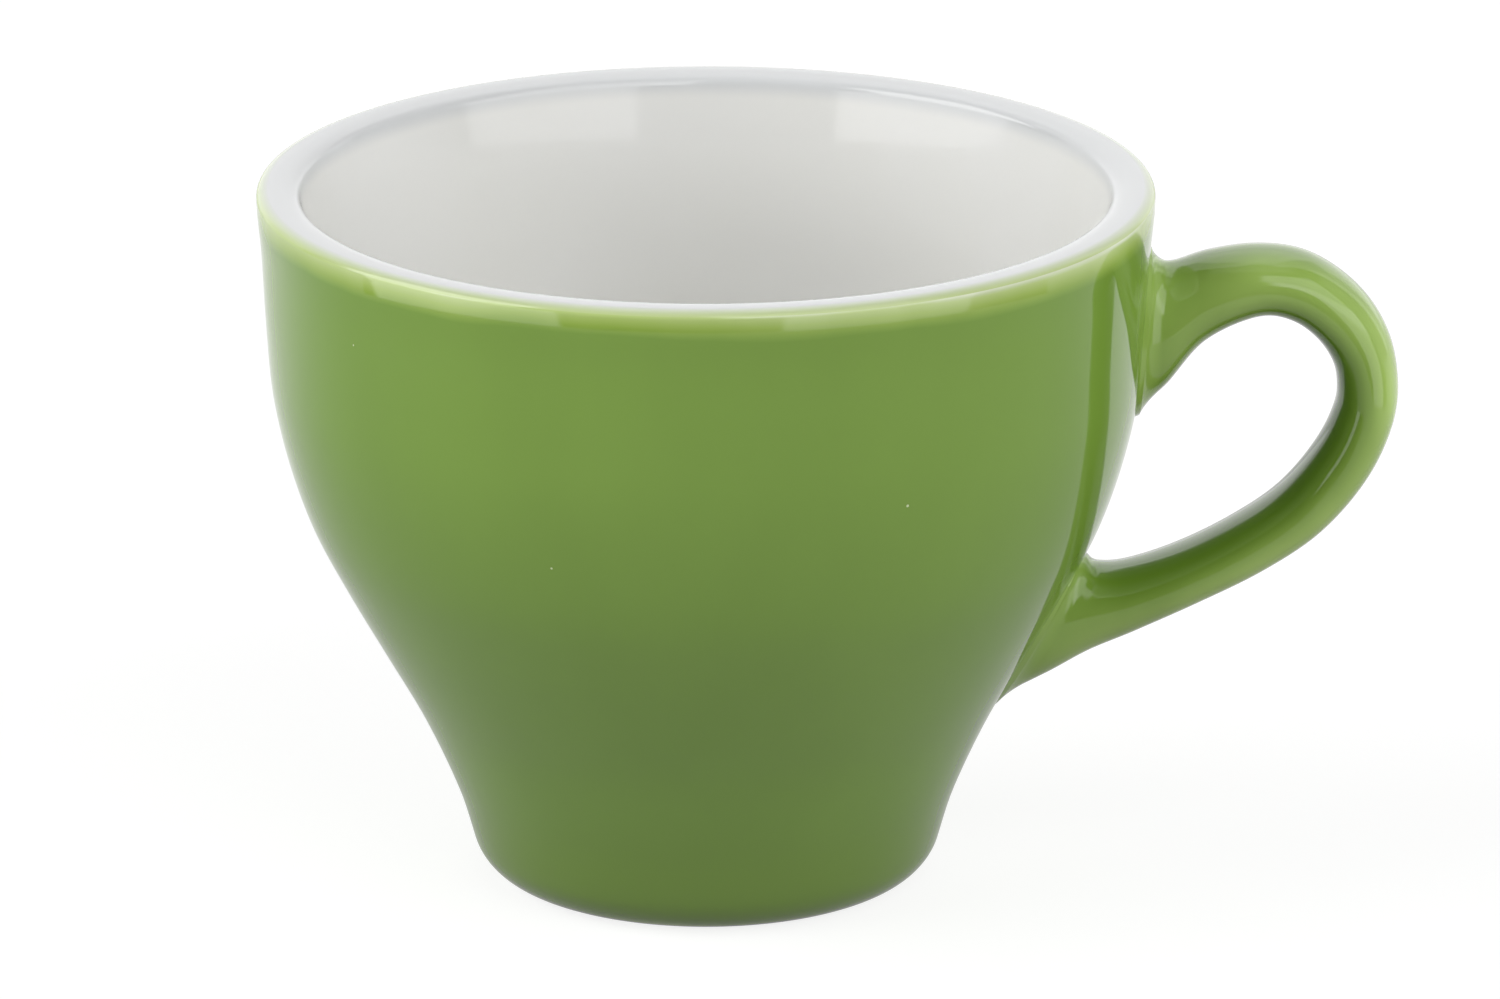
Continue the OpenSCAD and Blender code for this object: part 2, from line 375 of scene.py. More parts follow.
class Nodes:
    """Short ways to build a node tree."""

    def __init__(self, tree: bpy.types.NodeTree) -> None:
        """Keep the tree that nodes are added to."""
        self.tree = tree

    def add(self, kind: str, **settings: object) -> bpy.types.Node:
        """Add a node.

        Args:
            kind: The node's type name.
            settings: Properties of the node and their values.

        Returns:
            The new node.
        """
        node = self.tree.nodes.new(kind)
        for name, value in settings.items():
            setattr(node, name, value)
        return node

    def link(self, start: Socket, end: Socket) -> None:
        """Join an output to an input."""
        self.tree.links.new(start, end)

    def math(self, operation: str, *values: object) -> Socket:
        """Add a Math node.

        Args:
            operation: What it does.
            values: Its inputs in order, each a number or an output.

        Returns:
            Its output.
        """
        node = self.add("ShaderNodeMath", operation=operation)
        for socket, value in zip(node.inputs, values):
            if isinstance(value, Socket):
                self.link(value, socket)
            else:
                socket.default_value = value
        return node.outputs[0]

    def spread(self, value: Socket, start: float, end: float, smooth: bool = True) -> Socket:
        """Map a value to 0 at one number and 1 at another.

        Args:
            value: The output to map.
            start: The number that gives 0.
            end: The number that gives 1.
            smooth: Whether the change starts and ends softly.

        Returns:
            The mapped output.
        """
        node = self.add("ShaderNodeMapRange", interpolation_type="SMOOTHSTEP" if smooth else "LINEAR")
        self.link(value, node.inputs["Value"])
        node.inputs["From Min"].default_value = start
        node.inputs["From Max"].default_value = end
        return node.outputs["Result"]

    def mix(self, share: Socket, first: object, second: object) -> Socket:
        """Mix two colours.

        Args:
            share: Share of the second colour.
            first: A colour or an output.
            second: A colour or an output.

        Returns:
            The mixed colour's output.
        """
        node = self.add("ShaderNodeMix", data_type="RGBA")
        self.link(share, node.inputs[0])
        for socket, value in ((node.inputs[6], first), (node.inputs[7], second)):
            if isinstance(value, Socket):
                self.link(value, socket)
            else:
                socket.default_value = (*value, 1)
        return node.outputs[2]

    def ramp(self, value: Socket, stops: tuple[tuple[float, Colour], ...]) -> Socket:
        """Turn a value into a colour by stops.

        Args:
            value: The output to read.
            stops: Pairs of a place from 0 to 1 and a colour.

        Returns:
            The colour's output.
        """
        node = self.add("ShaderNodeValToRGB")
        elements = node.color_ramp.elements
        for place, _ in stops[2:]:
            elements.new(place)
        for element, (place, colour) in zip(elements, sorted(stops)):
            element.position = place
            element.color = (*colour, 1)
        self.link(value, node.inputs[0])
        return node.outputs[0]


class EffectLibrary:
    """Builds each shared shader group once."""

    def __init__(self) -> None:
        """Start with no groups."""
        self.groups: dict[Effect, bpy.types.NodeTree] = {}

    def place(self, nodes: Nodes, effect: Effect, **values: float) -> Socket:
        """Put a group into a material.

        Args:
            nodes: The material's nodes.
            effect: Which group.
            values: The group's inputs and their values.

        Returns:
            The group's output.
        """
        if effect not in self.groups:
            self.groups[effect] = getattr(self, f"make_{effect.name.lower()}")()
        node = nodes.add("ShaderNodeGroup", node_tree=self.groups[effect])
        for name, value in values.items():
            node.inputs[name].default_value = value
        return node.outputs[0]

    def start(
        self, effect: Effect, output: str, inputs: dict[str, float]
    ) -> tuple[Nodes, bpy.types.Node, bpy.types.Node]:
        """Start a group with its sockets and the object's own coordinates.

        Args:
            effect: Which group.
            output: Name of its output.
            inputs: Names and first values of its inputs.

        Returns:
            The group's nodes, its input node and its output node.
        """
        tree = bpy.data.node_groups.new(effect.value, "ShaderNodeTree")
        for name, value in inputs.items():
            socket = tree.interface.new_socket(name, in_out="INPUT", socket_type="NodeSocketFloat")
            socket.default_value = value
        tree.interface.new_socket(output, in_out="OUTPUT", socket_type="NodeSocketFloat")
        nodes = Nodes(tree)
        return nodes, nodes.add("NodeGroupInput"), nodes.add("NodeGroupOutput")

    def make_mottle(self) -> bpy.types.NodeTree:
        """Make the slow cloudy change between 0 and 1, as where a glaze lies thicker and thinner.

        Returns:
            The group.
        """
        nodes, given, put = self.start(Effect.MOTTLE, "Cloud", {"Scale": 60, "Stretch": 0.4})
        place = nodes.add("ShaderNodeTexCoord").outputs["Object"]
        squash = nodes.add("ShaderNodeVectorMath", operation="MULTIPLY")
        nodes.link(place, squash.inputs[0])
        combine = nodes.add("ShaderNodeCombineXYZ")
        combine.inputs["X"].default_value = 1
        combine.inputs["Y"].default_value = 1
        nodes.link(given.outputs["Stretch"], combine.inputs["Z"])
        nodes.link(combine.outputs[0], squash.inputs[1])
        noise = nodes.add("ShaderNodeTexNoise")
        noise.inputs["Detail"].default_value = 3
        noise.inputs["Roughness"].default_value = 0.45
        nodes.link(squash.outputs[0], noise.inputs["Vector"])
        nodes.link(given.outputs["Scale"], noise.inputs["Scale"])
        nodes.link(nodes.spread(noise.outputs["Fac"], 0.3, 0.7), put.inputs[0])
        return nodes.tree

    def make_specks(self) -> bpy.types.NodeTree:
        """Make the sparse tiny round specks, 1 on them and 0 between them.

        Returns:
            The group.
        """
        nodes, given, put = self.start(Effect.SPECKS, "Speck", {"Scale": 300, "Size": 0.06, "Share": 0.02})
        place = nodes.add("ShaderNodeTexCoord").outputs["Object"]
        cells = nodes.add("ShaderNodeTexVoronoi")
        nodes.link(place, cells.inputs["Vector"])
        nodes.link(given.outputs["Scale"], cells.inputs["Scale"])
        split = nodes.add("ShaderNodeSeparateColor")
        nodes.link(cells.outputs["Color"], split.inputs[0])
        chosen = nodes.math("LESS_THAN", split.outputs[0], given.outputs["Share"])
        size = nodes.math("MULTIPLY", split.outputs[1], given.outputs["Size"])
        near = nodes.math("LESS_THAN", cells.outputs["Distance"], size)
        nodes.link(nodes.math("MULTIPLY", chosen, near), put.inputs[0])
        return nodes.tree

    def make_ripple(self) -> bpy.types.NodeTree:
        """Make the height of a glaze's skin: long soft waves with a trace of fine grain.

        Returns:
            The group.
        """
        inputs = {"Wave scale": 90, "Grain scale": 900, "Grain": 0.06}
        nodes, given, put = self.start(Effect.RIPPLE, "Height", inputs)
        place = nodes.add("ShaderNodeTexCoord").outputs["Object"]
        heights = []
        for name, detail in (("Wave scale", 1), ("Grain scale", 2)):
            noise = nodes.add("ShaderNodeTexNoise")
            noise.inputs["Detail"].default_value = detail
            nodes.link(place, noise.inputs["Vector"])
            nodes.link(given.outputs[name], noise.inputs["Scale"])
            heights.append(noise.outputs["Fac"])
        grain = nodes.math("MULTIPLY", heights[1], given.outputs["Grain"])
        nodes.link(nodes.math("ADD", heights[0], grain), put.inputs[0])
        return nodes.tree


@dataclass(frozen=True)
class Finish:
    """What every finish has: a name, a slot name that nothing here reads, and the numbers of its shader."""

    name: str
    slot: str
    roughness: float
    ripple_depth: float
    refraction: float = 1.52

    def start(self) -> tuple[bpy.types.Material, Nodes, bpy.types.Node]:
        """Start the material with its shader.

        Returns:
            The material, its nodes and the shader node.
        """
        material = bpy.data.materials.new(self.name)
        material.use_nodes = True
        nodes = Nodes(material.node_tree)
        shader = material.node_tree.nodes["Principled BSDF"]
        shader.inputs["IOR"].default_value = self.refraction
        shader.inputs["Roughness"].default_value = self.roughness
        return material, nodes, shader

    def ripple(self, nodes: Nodes, shader: bpy.types.Node, height: Socket) -> None:
        """Feed a height to the shader's normal, at the finish's depth.

        Args:
            nodes: The material's nodes.
            shader: The shader node.
            height: Output with the height.
        """
        bump = nodes.add("ShaderNodeBump")
        bump.inputs["Distance"].default_value = self.ripple_depth
        nodes.link(height, bump.inputs["Height"])
        nodes.link(bump.outputs["Normal"], shader.inputs["Normal"])


@dataclass(frozen=True)
class GreenGlaze(Finish):
    """Glossy green glaze that thins and pales where it runs off the lip and the foot, with painted light and
    painted shade on the handle's loop.

    The lip's and the foot's bands give the heights at which it is bare and at which it lies at its full
    thickness; the foot's band is also made paler as painted light against the shade at the foot. Between
    the heights of foot_shade_band, painted shade darkens the glaze above the foot. The colour
    painted_light_colour is painted light, shown where the attribute painted_light_on_loop passes from the
    first to the second number of painted_light_band.
    """

    lip_band: tuple[float, float] | None = None
    foot_band: tuple[float, float] | None = None
    foot_shade_band: tuple[float, float] | None = None
    thickness_stops: tuple[tuple[float, Colour], ...] = (
        (0.0, srgb(222, 228, 205)),
        (0.2, srgb(192, 211, 140)),
        (0.46, srgb(173, 197, 109)),
        (0.7, srgb(151, 180, 82)),
        (1.0, srgb(123, 158, 63)),
    )
    dark: Colour = srgb(117, 151, 58)
    # Colour of the painted shade that darkens the glaze above the foot.
    foot_shade_colour: Colour = srgb(112, 143, 55)
    speck: Colour = srgb(205, 215, 170)
    # Pale colour painted as light on the handle's loop.
    painted_light_colour: Colour | None = None
    painted_light_band: tuple[float, float] = (-0.7, 0.8)
    edge_drift: float = 0.9 * MM
    dark_share: float = 0.45

    def material(self, effects: EffectLibrary) -> bpy.types.Material:
        """Build the material.

        Args:
            effects: The shared shader groups.

        Returns:
            The new material.
        """
        material, nodes, shader = self.start()
        place = nodes.add("ShaderNodeTexCoord").outputs["Object"]
        split = nodes.add("ShaderNodeSeparateXYZ")
        nodes.link(place, split.inputs[0])
        height = split.outputs["Z"]
        drift = effects.place(nodes, Effect.MOTTLE, Scale=38, Stretch=0.2)
        drift = nodes.math("MULTIPLY_ADD", drift, self.edge_drift, -self.edge_drift / 2)
        height = nodes.math("ADD", height, drift)
        thickness = nodes.math("ADD", 1.0, 0.0)
        for band in (self.lip_band, self.foot_band):
            if band:
                thickness = nodes.math("MULTIPLY", thickness, nodes.spread(height, *band, smooth=False))
        colour = nodes.ramp(thickness, self.thickness_stops)
        # Painted light: the pale colour goes on the loop's outer side, and the darker base colour stays on
        # its inner side as painted shade.
        if self.painted_light_colour:
            outside = nodes.add("ShaderNodeAttribute", attribute_name=PAINTED_LIGHT_ATTRIBUTE).outputs["Fac"]
            colour = nodes.mix(nodes.spread(outside, *self.painted_light_band), colour, self.painted_light_colour)
        cloud = effects.place(nodes, Effect.MOTTLE, Scale=70, Stretch=0.5)
        deep = nodes.math("MULTIPLY", nodes.math("MULTIPLY", cloud, thickness), self.dark_share)
        colour = nodes.mix(deep, colour, self.dark)
        # Painted shade: the glaze darkens towards the foot between the heights of foot_shade_band.
        if self.foot_shade_band:
            foot_shade_share = nodes.math("MULTIPLY", nodes.spread(height, *self.foot_shade_band), thickness)
            colour = nodes.mix(foot_shade_share, colour, self.foot_shade_colour)
        specks = effects.place(nodes, Effect.SPECKS, Scale=260, Size=0.04, Share=0.15)
        colour = nodes.mix(specks, colour, self.speck)
        nodes.link(colour, shader.inputs["Base Color"])
        self.ripple(nodes, shader, effects.place(nodes, Effect.RIPPLE))
        return material


@dataclass(frozen=True)
class PaleGlaze(Finish):
    """White or clear glaze over porcelain, with a faint warm drift.

    Where the lip's height is given, the glaze is painted darker and cooler from lip_shade_depths below it,
    as painted shade and a painted cool reflection, and the green runs into it between lip_radii.
    """

    colour: Colour = (0.82, 0.82, 0.8)
    drift: Colour = (0.81, 0.81, 0.78)
    speck: Colour = (0.45, 0.42, 0.36)
    lip_height: float | None = None
    lip_shade_depths: tuple[float, float] = (2.5 * MM, 0.8 * MM)
    lip_radii: tuple[float, float] = (0, 1)
    # Painted shade and a painted cool reflection on the lip.
    lip_shade_colour: Colour = (0.68, 0.693, 0.7)
    run_colour: Colour = srgb(192, 209, 143)

    def over_lip(self, nodes: Nodes, colour: Socket) -> Socket:
        """Paint shade and a cool reflection over the lip, and let the green run into it on the lip's outer
        half.

        Args:
            nodes: The material's nodes.
            colour: Output with the glaze's colour.

        Returns:
            The output with the new colour.
        """
        split = nodes.add("ShaderNodeSeparateXYZ")
        nodes.link(nodes.add("ShaderNodeTexCoord").outputs["Object"], split.inputs[0])
        across, deep, height = split.outputs
        first, last = (self.lip_height - depth for depth in self.lip_shade_depths)
        # Painted shade: the lip is darker and cooler than the glaze inside the cup.
        colour = nodes.mix(nodes.spread(height, first, last), colour, self.lip_shade_colour)
        radius = nodes.math("ADD", nodes.math("POWER", across, 2), nodes.math("POWER", deep, 2))
        run = nodes.spread(nodes.math("SQRT", radius), *self.lip_radii, smooth=False)
        return nodes.mix(run, colour, self.run_colour)

    def material(self, effects: EffectLibrary) -> bpy.types.Material:
        """Build the material.

        Args:
            effects: The shared shader groups.

        Returns:
            The new material.
        """
        material, nodes, shader = self.start()
        cloud = effects.place(nodes, Effect.MOTTLE, Scale=45, Stretch=0.7)
        colour = nodes.mix(cloud, self.colour, self.drift)
        if self.lip_height:
            colour = self.over_lip(nodes, colour)
        specks = effects.place(nodes, Effect.SPECKS, Scale=240, Size=0.035, Share=0.008)
        colour = nodes.mix(specks, colour, self.speck)
        nodes.link(colour, shader.inputs["Base Color"])
        self.ripple(nodes, shader, effects.place(nodes, Effect.RIPPLE))
        return material


@dataclass(frozen=True)
class BareClay(Finish):
    """Unglazed fired clay, with a fine sandy grain."""

    colour: Colour = (0.78, 0.75, 0.68)
    grit: Colour = (0.62, 0.58, 0.5)
    grit_share: float = 0.5

    def material(self, effects: EffectLibrary) -> bpy.types.Material:
        """Build the material.

        Args:
            effects: The shared shader groups.

        Returns:
            The new material.
        """
        material, nodes, shader = self.start()
        cloud = effects.place(nodes, Effect.MOTTLE, Scale=400, Stretch=1)
        colour = nodes.mix(nodes.math("MULTIPLY", cloud, self.grit_share), self.colour, self.grit)
        specks = effects.place(nodes, Effect.SPECKS, Scale=1500, Size=0.3, Share=0.08)
        colour = nodes.mix(specks, colour, self.grit)
        nodes.link(colour, shader.inputs["Base Color"])
        grain = {"Wave scale": 700, "Grain scale": 5000, "Grain": 0.6}
        height = effects.place(nodes, Effect.RIPPLE, **grain)
        self.ripple(nodes, shader, height)
        return material


@dataclass
class Bowl:
    """The turned bowl: porcelain body, green glaze outside, white glaze inside and glaze under the foot."""

    outline: Outline
    effects: EffectLibrary
    bond_gap: float = 0.02 * MM

    def layer(self, line: Line, name: str) -> bpy.types.Object:
        """Make a layer of glaze that follows a stretch of the outline.

        Args:
            line: The stretch of outline.
            name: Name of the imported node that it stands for.

        Returns:
            The new piece.
        """
        piece = turned(line + inset(line, self.outline.glaze)[::-1], f"{name}_skin")
        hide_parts(name)
        return piece

    def body(self) -> bpy.types.Object:
        """Make the porcelain body with its bare standing ring.

        Returns:
            The new piece.
        """
        depth = self.outline.glaze + self.bond_gap
        finished = self.outline.outside(math.pi / 2) + self.outline.inner_line()
        line = inset(self.outline.underside(), depth) + self.outline.bare_ring() + inset(finished, depth)
        piece = turned(line, "cup_body_clay")
        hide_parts("cup_body")
        return piece

    def build(self) -> None:
        """Make the bowl's pieces and give each its finish."""
        outline = self.outline
        edge = outline.white_edge_angle
        green = GreenGlaze(
            "green_glaze_bowl", "green_glaze", 0.05, 0.004 * MM,
            lip_band=(outline.height - 0.1 * MM, outline.height - 3.1 * MM),
            # The glaze thins towards the bare ring; this band is also made paler at the very bottom as
            # painted light against the shade at the foot.
            foot_band=(0.1 * MM, 1.5 * MM),
            # Painted shade, darkening the glaze from 16 mm down to 2 mm above the foot.
            foot_shade_band=(16 * MM, 2 * MM),
        )
        white = PaleGlaze(
            "white_glaze", "white_glaze", 0.08, 0.004 * MM,
            lip_height=outline.height,
            lip_radii=(outline.rim_radius - 1.2 * MM, outline.rim_radius - 0.05 * MM),
        )
        clear = PaleGlaze(
            "clear_glaze", "clear_glaze", 0.1, 0.01 * MM, colour=(0.76, 0.75, 0.7), drift=(0.72, 0.7, 0.63)
        )
        clay = BareClay("bare_ring_clay", "bisque", 0.62, 0.02 * MM)
        pieces = (
            (self.body(), clay),
            (self.layer(outline.outside(edge), "outer_glaze"), green),
            (self.layer(outline.lip_outer(edge, math.pi / 2) + outline.inner_line(), "liner_glaze"), white),
            (self.layer(outline.underside(), "base_glaze"), clear),
        )
        for piece, finish in pieces:
            piece.data.materials.append(finish.material(self.effects))


@dataclass
class Handle:
    """The cast loop handle with its webbed roots, its green glaze and the slip under each root."""

    outline: Outline
    effects: EffectLibrary
    reach: float
    nodes: dict[str, bpy.types.Object]
    rise: float = 36.4 * MM
    drop: float = 10 * MM
    thickness: float = 6.2 * MM
    width: float = 10.4 * MM
    root_fillet: float = 2 * MM
    root_bury: float = 2.5 * MM
    # How the painted light lies round the loop's section and fades towards the roots.
    thin_on_sides: float = 2
    thin_on_top: float = 0.5
    painted_light_offset: float = -1.3
    thin_root_rows: tuple[float, float] = (5, 3)
    sides: int = 64
    rings: int = 180
    round_share: float = 0.91
    gather_share: float = 0.72
    centre_shares: tuple[tuple[float, float, float], ...] = (
        (0, 0.848, 2.42), (0.107, 0.879, 2.02), (0.268, 0.957, 1.45), (0.498, 1, 1.13), (0.693, 0.982, 1.1),
        (0.864, 0.907, 1.08), (0.97, 0.805, 1.02), (1, 0.687, 1), (0.969, 0.585, 1), (0.886, 0.47, 1.01),
        (0.745, 0.341, 0.99), (0.577, 0.24, 0.96), (0.398, 0.154, 0.96), (0.243, 0.091, 1.11),
        (0.14, 0.059, 1.44), (0.066, 0.032, 2.06), (0, 0, 2.62),
    )
    lean_angles: tuple[float, ...] = (
        86, 87, 87, 88, 76, 57, 28, 5, -19, -35, -44, -57, -69, -82, -98, -110, -119,
    )
    rows: list[Vector] = field(init=False)

    def __post_init__(self) -> None:
        """Join the centre line's shares and the lean of the section into rows."""
        self.rows = [
            Vector((*shares, math.radians(lean)))
            for shares, lean in zip(self.centre_shares, self.lean_angles)
        ]

    def ring(self, place: float, bury: float) -> Line:
        """Points round the handle at a place along it.

        Args:
            place: The place, counted in rows.
            bury: How far the ring is moved into the wall.

        Returns:
            The ring's points.
        """
        reach, rise, thick, lean = smooth_curve(self.rows, place)
        outline = self.outline
        out_radius = outline.rim_radius + self.reach - self.thickness / 2
        height = outline.height - self.drop - self.rise * (1 - rise)
        wall = outline.wall_radius(height)
        middle = Vector((wall + (out_radius - wall) * reach - bury, 0, height))
        slope = outline.wall_radius(height + self.width / 2) - wall
        face = Vector((self.width / 2, 0, -slope)).normalized()
        up = Vector((math.cos(lean), 0, math.sin(lean)))
        side = Vector((0, 1, 0))
        points = []
        for j in range(self.sides):
            a = 2 * math.pi * j / self.sides
            across = signed_power(math.cos(a), self.round_share) * self.thickness / 2 * thick
            along = signed_power(math.sin(a), self.round_share) * self.width / 2
            out = math.cos(a) * up + math.sin(a) * side
            plain = middle + across * up + along * side
            gap = plain.xy.length - outline.wall_radius(plain.z)
            inside = max(0.0, self.root_fillet - max(0.0, gap))
            spread = self.root_fillet - math.sqrt(self.root_fillet**2 - inside**2)
            points.append(plain + spread * (1 - max(0.0, out.dot(face))) * out)
        return points

    def painted_light_level(self, place: float, angle: float) -> float:
        """Tell how much painted light lies on the loop, from -1 for painted shade to 1 for the most painted
        light.

        The painted light lies on the outside of the loop, or on its two sides where the loop runs level,
        over a little real thinning of the glaze there.

        Args:
            place: The place along the handle, counted in rows.
            angle: Angle round the section from its outer side.

        Returns:
            The level of painted light.
        """
        steep = math.cos(max(0.0, smooth_curve(self.rows, place)[3]))
        level = self.thin_on_sides * abs(math.sin(angle)) + self.thin_on_top * math.cos(angle)
        level += self.painted_light_offset
        upper, lower = self.thin_root_rows
        from_root = min(1.0, place / upper, (len(self.rows) - 1 - place) / lower)
        return (steep * math.cos(angle) + (1 - steep) * level) * from_root

    def glaze(self) -> bpy.types.Object:
        """Make the glazed skin of the handle, closed inside the wall.

        Returns:
            The new piece.
        """
        last = len(self.rows) - 1
        places = [
            last * (t - self.gather_share * math.sin(2 * math.pi * t) / (2 * math.pi))
            for t in (i / self.rings for i in range(self.rings + 1))
        ]
        rings = [(self.ring(place, 0), place) for place in places]
        rings.insert(0, (self.ring(0, self.root_bury), 0))
        rings.append((self.ring(last, self.root_bury), last))
        mesh = bmesh.new()
        # Each point of the loop keeps its level of painted light in this attribute.
        outside = mesh.verts.layers.float.new(PAINTED_LIGHT_ATTRIBUTE)
        turn = 2 * math.pi / self.sides
        circle = bmesh.ops.create_circle(mesh, segments=self.sides, radius=self.width, cap_ends=True)
        front = list(circle["verts"])
        edges = list(mesh.edges)
        for ring, place in rings:
            for i, (vertex, point) in enumerate(zip(front, ring)):
                vertex.co = point
                vertex[outside] = self.painted_light_level(place, turn * i)
            made = set(bmesh.ops.extrude_edge_only(mesh, edges=edges)["geom"])
            edges = [item for item in made if isinstance(item, bmesh.types.BMEdge) and item.is_boundary]
            front = [next(e.other_vert(v) for e in v.link_edges if e.other_vert(v) in made) for v in front]
        bmesh.ops.delete(mesh, geom=front, context="VERTS")
        bmesh.ops.contextual_create(mesh, geom=[edge for edge in mesh.edges if edge.is_boundary])
        piece = finished_piece(mesh, "handle_glaze_skin", HANDLE_CREASE)
        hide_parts("handle_glaze")
        return piece

    def build(self) -> None:
        """Make the handle's skin and dress it and the pieces inside it."""
        # The handle's own copy of the green glaze: its darker base colour is painted shade on the loop's
        # inner side, and its pale colour is painted light on the outer side.
        green = GreenGlaze(
            "green_glaze_handle_painted_light", "green_glaze", 0.05, 0.004 * MM,
            thickness_stops=((0.0, srgb(226, 227, 221)), (1.0, srgb(107, 140, 47))),
            dark=srgb(102, 134, 44), painted_light_colour=srgb(184, 214, 117),
        )
        skin = self.glaze()
        skin.data.materials.append(green.material(self.effects))
        clay = BareClay("cast_clay", "bisque", 0.55, 0.02 * MM).material(self.effects)
        slip = BareClay("joint_slip", "slip", 0.8, 0.03 * MM, colour=(0.7, 0.67, 0.6)).material(self.effects)
        for name, material in (("handle", clay), ("upper_joint_slip", slip), ("lower_joint_slip", slip)):
            mesh = self.nodes[name].data
            mesh.materials.clear()
            mesh.materials.append(material)
            LOG.info("%s: dressed as %s", name, material.name)


@dataclass(frozen=True)
class SoftPanel:
    """A soft patch of light in the room round the cup.

    Angles are in degrees. Bearing 0 is towards the camera and grows to the right; height 0 is level.
    """

    bearings: tuple[float, float]
    heights: tuple[float, float]
    strength: float = 1
    edge: float = 6

    def light(self, nodes: Nodes, bearing: Socket, height: Socket) -> Socket:
        """Add the nodes that give the panel's light in a direction.

        Args:
            nodes: The room's nodes.
            bearing: Output with the direction's bearing.
            height: Output with the direction's height.

        Returns:
            The output with the light.
        """
        first, last = self.bearings
        low, high = self.heights
        aside = nodes.math("WRAP", nodes.math("SUBTRACT", bearing, (first + last) / 2), 180, -180)
        reach, soft = (last - first) / 2, self.edge / 2
        light = nodes.spread(nodes.math("ABSOLUTE", aside), reach + soft, reach - soft)
        light = nodes.math("MULTIPLY", light, nodes.spread(height, low - soft, low + soft))
        light = nodes.math("MULTIPLY", light, nodes.spread(height, high + soft, high - soft))
        return nodes.math("MULTIPLY", light, self.strength)


@dataclass(frozen=True)
class SoftBox:
    """A square lamp close to the handle, with its bearing and height in degrees as for a panel."""

    bearing: float
    height: float
    brightness: float
    distance: float = 0.28
    size: float = 0.14
    aim: Vector = field(default_factory=lambda: Vector((60 * MM, 0, 50 * MM)))

    def build(self) -> None:
        """Put the lamp in its place, turned to the handle and unseen by the camera and in reflections."""
        lamp = bpy.data.lights.new("soft_box", "AREA")
        lamp.size = self.size
        lamp.energy = math.pi * self.size**2 * self.brightness
        holder = bpy.data.objects.new("soft_box", lamp)
        bearing, height = math.radians(self.bearing), math.radians(self.height)
        level = math.cos(height)
        away = Vector((math.sin(bearing) * level, -math.cos(bearing) * level, math.sin(height)))
        holder.location = self.aim + self.distance * away
        holder.rotation_euler = away.to_track_quat("Z", "Y").to_euler()
        holder.visible_camera = False
        holder.visible_glossy = False
        bpy.context.scene.collection.objects.link(holder)


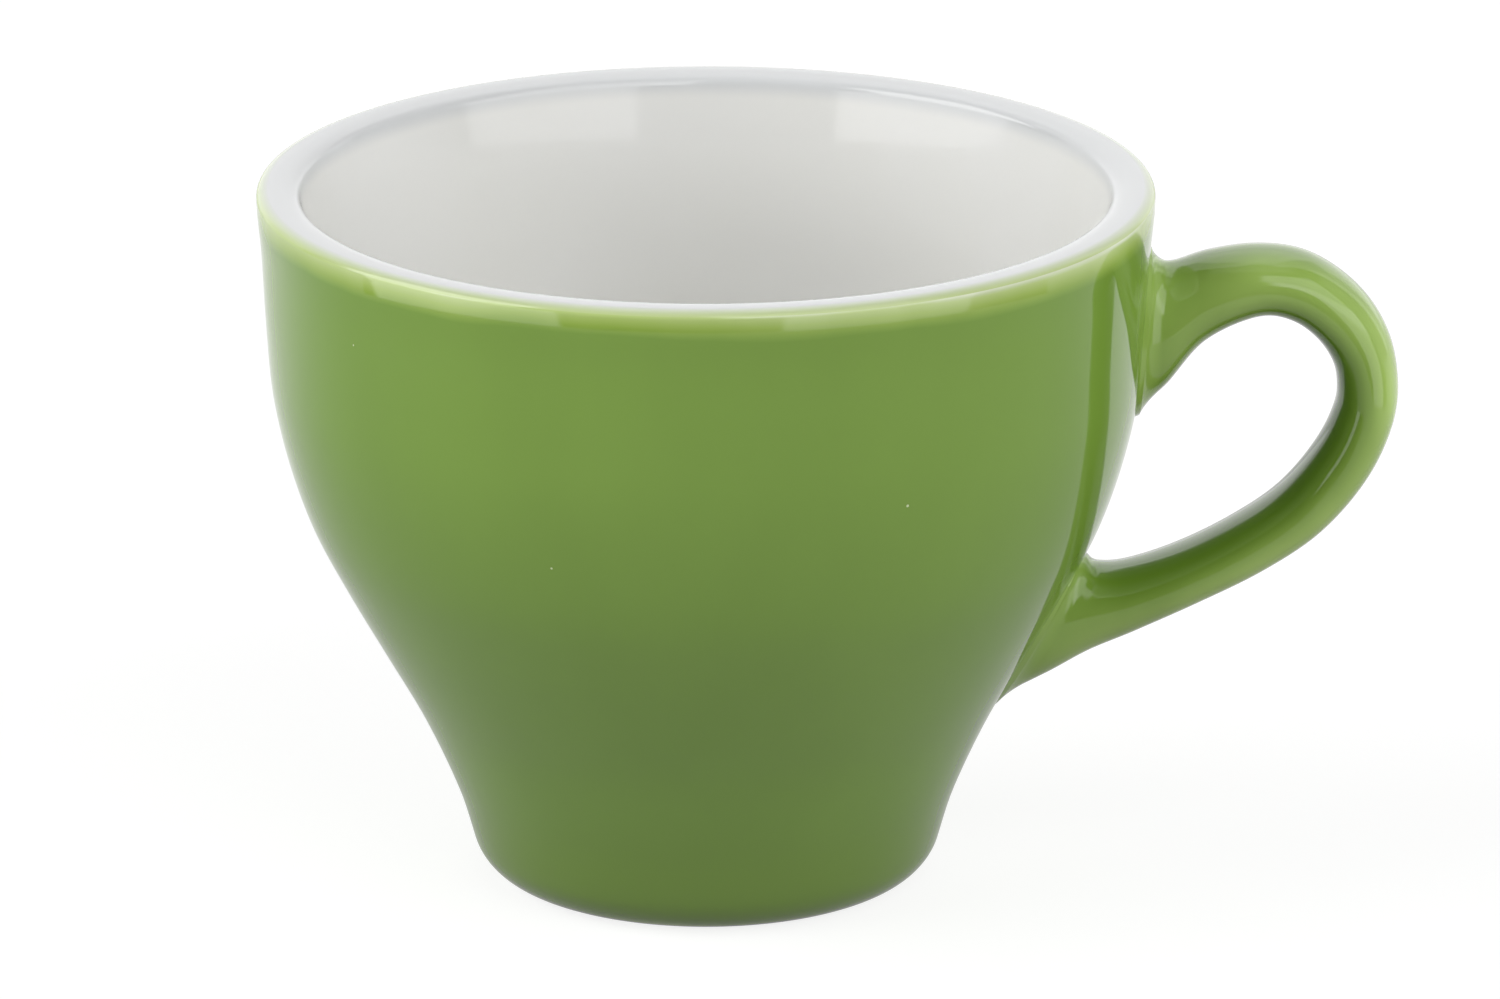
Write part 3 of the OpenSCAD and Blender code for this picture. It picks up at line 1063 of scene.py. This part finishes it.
@dataclass
class Studio:
    """Camera, floor, lamps and surroundings. Picture pixels are those of a 1500 by 999 frame."""

    elevation: float = math.radians(17.4)
    distance: float = 1.3
    aim: Vector = field(default_factory=lambda: Vector((4.41 * MM, 0, 38.89 * MM)))
    focal_pixels: float = 12895
    picture_pixels: float = 1500
    sensor: float = 36
    table_radius: float = 0.205
    table_widening: float = 7
    table_gap: float = 0.02 * MM
    paper: Colour = (0.25, 0.25, 0.25)
    paper_glow: float = 0.83
    mirrored_glow: tuple[float, float] = (0.4, 0.75)
    mirrored_depth: float = 0.15
    backdrop: SoftPanel = SoftPanel((122, 238), (-6, 80))
    panels: tuple[SoftPanel, ...] = (
        SoftPanel((-108, -50), (14, 50), 3.85),
        SoftPanel((-95, -38), (-26, 14), 1.9, 2.5),
        SoftPanel((4, 76), (14, 30), 2.8),
        SoftPanel((0, 72), (30, 58), 1.75),
        SoftPanel((20, 72), (-26, 14), 1.6, 2.5),
        SoftPanel((78, 132), (-4, 50), 0.45),
        SoftPanel((144, 216), (-4, 30), 0.5),
        SoftPanel((155, 205), (30, 72), 0.75),
        SoftPanel((-180, 180), (72, 100), 0.4, 8),
    )
    boxes: tuple[SoftBox, ...] = (
        SoftBox(90, 12, 1.2),
        SoftBox(90, 40, 0.5),
    )

    def camera(self) -> None:
        """Make the camera at the photograph's angle."""
        data = bpy.data.cameras.new("camera")
        data.sensor_fit = "HORIZONTAL"
        data.sensor_width = self.sensor
        data.lens = self.focal_pixels / self.picture_pixels * self.sensor
        data.clip_start, data.clip_end = 0.05, 20
        camera = bpy.data.objects.new("camera", data)
        back = Vector((0, -math.cos(self.elevation), math.sin(self.elevation)))
        camera.location = self.aim + self.distance * back
        camera.rotation_euler = (-back).to_track_quat("-Z", "Y").to_euler()
        bpy.context.scene.collection.objects.link(camera)
        bpy.context.scene.camera = camera

    def floor(self) -> None:
        """Lay the pale table top that the cup stands on: round in front, and wide and deep behind."""
        mesh = bmesh.new()
        bmesh.ops.create_circle(mesh, segments=128, radius=self.table_radius, cap_ends=True)
        rear = [vertex for vertex in mesh.verts if vertex.co.y > 0]
        bmesh.ops.scale(mesh, vec=(self.table_widening, self.table_widening, 1), verts=rear)
        bmesh.ops.translate(mesh, vec=(0, 0, -self.table_gap), verts=mesh.verts)
        data = bpy.data.meshes.new("table_top")
        mesh.to_mesh(data)
        mesh.free()
        table = bpy.data.objects.new("table_top", data)
        bpy.context.scene.collection.objects.link(table)
        table.data.materials.append(self.floor_material())

    def floor_material(self) -> bpy.types.Material:
        """White matt paper that the camera sees as the background, with the cup's shadow on it.

        Returns:
            The new material.
        """
        material = bpy.data.materials.new("white_paper")
        material.use_nodes = True
        nodes = Nodes(material.node_tree)
        shader = material.node_tree.nodes["Principled BSDF"]
        shader.inputs["Roughness"].default_value = 0.9
        shader.inputs["Specular IOR Level"].default_value = 0.1
        shader.inputs["Base Color"].default_value = (*self.paper, 1)
        shader.inputs["Emission Color"].default_value = (1, 1, 1, 1)
        path = nodes.add("ShaderNodeLightPath")
        place = nodes.add("ShaderNodeSeparateXYZ")
        nodes.link(nodes.add("ShaderNodeTexCoord").outputs["Object"], place.inputs[0])
        near, far = self.mirrored_glow
        behind = nodes.spread(place.outputs["Y"], 0, self.mirrored_depth)
        seen = nodes.math("MULTIPLY_ADD", behind, far - near, near)
        mirrored = nodes.math("ADD", path.outputs["Is Glossy Ray"], path.outputs["Is Transmission Ray"])
        mirrored = nodes.math("MULTIPLY", mirrored, seen)
        glow = nodes.math("MULTIPLY_ADD", path.outputs["Is Camera Ray"], self.paper_glow, mirrored)
        nodes.link(glow, shader.inputs["Emission Strength"])
        return material

    def surroundings(self) -> None:
        """Light the room with the soft panels, with a white backdrop for the camera and in reflections."""
        world = bpy.data.worlds.new("room")
        world.use_nodes = True
        bpy.context.scene.world = world
        nodes = Nodes(world.node_tree)
        direction = nodes.add("ShaderNodeSeparateXYZ")
        nodes.link(nodes.add("ShaderNodeTexCoord").outputs["Generated"], direction.inputs[0])
        across, deep, up = direction.outputs
        bearing = nodes.math("ARCTAN2", across, nodes.math("MULTIPLY", deep, -1))
        bearing = nodes.math("DEGREES", bearing)
        height = nodes.math("DEGREES", nodes.math("ARCSINE", up))
        light = nodes.math("ADD", 0, 0)
        for panel in self.panels:
            light = nodes.math("ADD", light, panel.light(nodes, bearing, height))
        path = nodes.add("ShaderNodeLightPath")
        mirrored = nodes.math("ADD", path.outputs["Is Glossy Ray"], path.outputs["Is Transmission Ray"])
        mirrored = nodes.math("MULTIPLY", mirrored, self.backdrop.light(nodes, bearing, height))
        room = nodes.math("ADD", light, mirrored)
        seen = nodes.spread(path.outputs["Is Camera Ray"], 0, 1, smooth=False)
        nodes.link(room, seen.node.inputs["To Min"])
        back = world.node_tree.nodes["Background"]
        back.inputs["Color"].default_value = (1, 1, 1, 1)
        nodes.link(seen, back.inputs["Strength"])

    def build(self) -> None:
        """Make the whole studio."""
        self.camera()
        self.floor()
        self.surroundings()
        for box in self.boxes:
            box.build()
        bpy.context.scene.view_settings.view_transform = "Standard"


def main() -> None:
    """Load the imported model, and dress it."""
    logging.basicConfig(level=logging.INFO, format="%(name)s: %(message)s")
    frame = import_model()
    outline = Outline(rim_radius=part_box("outer_glaze")[1].y, height=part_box("liner_glaze")[1].z)
    effects = EffectLibrary()
    Bowl(outline, effects).build()
    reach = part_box("handle_glaze")[1].x - outline.rim_radius
    Handle(outline, effects, reach, frame["nodes"]).build()
    Studio().build()


if __name__ == "__main__":
    main()
